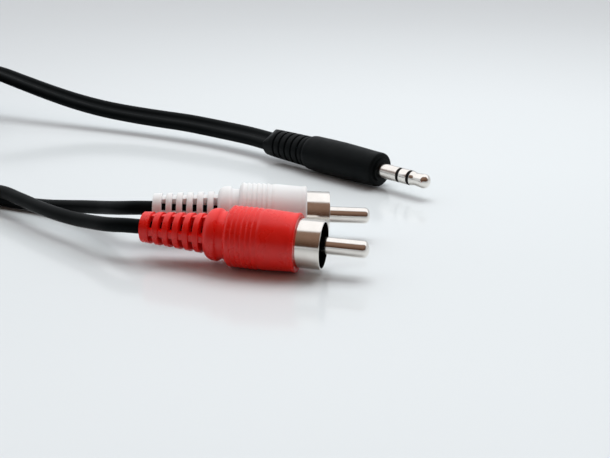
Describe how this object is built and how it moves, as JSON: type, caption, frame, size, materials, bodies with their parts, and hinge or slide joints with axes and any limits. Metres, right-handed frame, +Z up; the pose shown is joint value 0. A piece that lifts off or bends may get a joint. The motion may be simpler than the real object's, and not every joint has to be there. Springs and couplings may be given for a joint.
{
  "type": "stereo audio cable",
  "caption": "Stereo audio cable: a slim jack plug on a flat twin cord, a tied coil, then leads that end in a red and a white moulded phono plug with slotted strain reliefs.",
  "frame": {"origin": "on the surface the cable lies on, below the middle of the box round the three plugs (the free cords and their coil are left out of that box)", "axes": "+X from the leads towards the phono plugs' pins, +Y from the phono plugs towards the jack plug, +Z up"},
  "size_m": [0.202, 0.1487, 0.0173],
  "materials": {
    "red_boot": "satin moulded vinyl",
    "white_boot": "satin moulded vinyl, slightly translucent",
    "plated_metal": "bright nickel plate on brass",
    "insulator": "matte",
    "inner_mould": "matte, out of sight",
    "wire": "smooth",
    "copper": "bare twisted strands",
    "jack_handle": "satin moulded vinyl",
    "cord": "satin extruded jacket",
    "tie": "matte strip"
  },
  "bodies": {
    "root": {"red_boot": "red_boot", "red_shell": "plated_metal", "red_pin": "plated_metal", "red_insulator": "insulator", "red_inner_mould": "inner_mould", "red_signal_wire": "wire", "red_shield_tail": "copper", "white_boot": "white_boot", "white_shell": "plated_metal", "white_pin": "plated_metal", "white_insulator": "insulator", "white_inner_mould": "inner_mould", "white_signal_wire": "wire", "white_shield_tail": "copper", "jack_tip": "plated_metal", "jack_front_insulator": "insulator", "jack_ring": "plated_metal", "jack_rear_insulator": "insulator", "jack_sleeve": "plated_metal", "jack_inner_mould": "inner_mould", "jack_handle": "jack_handle", "jack_tip_wire": "wire", "jack_ring_wire": "wire", "jack_shield_tail": "copper", "jack_cord": "cord", "split_cord": "cord", "white_lead": "cord", "red_lead": "cord", "cord_coil": "cord", "coil_tie": "tie"}
  },
  "joints": []
}
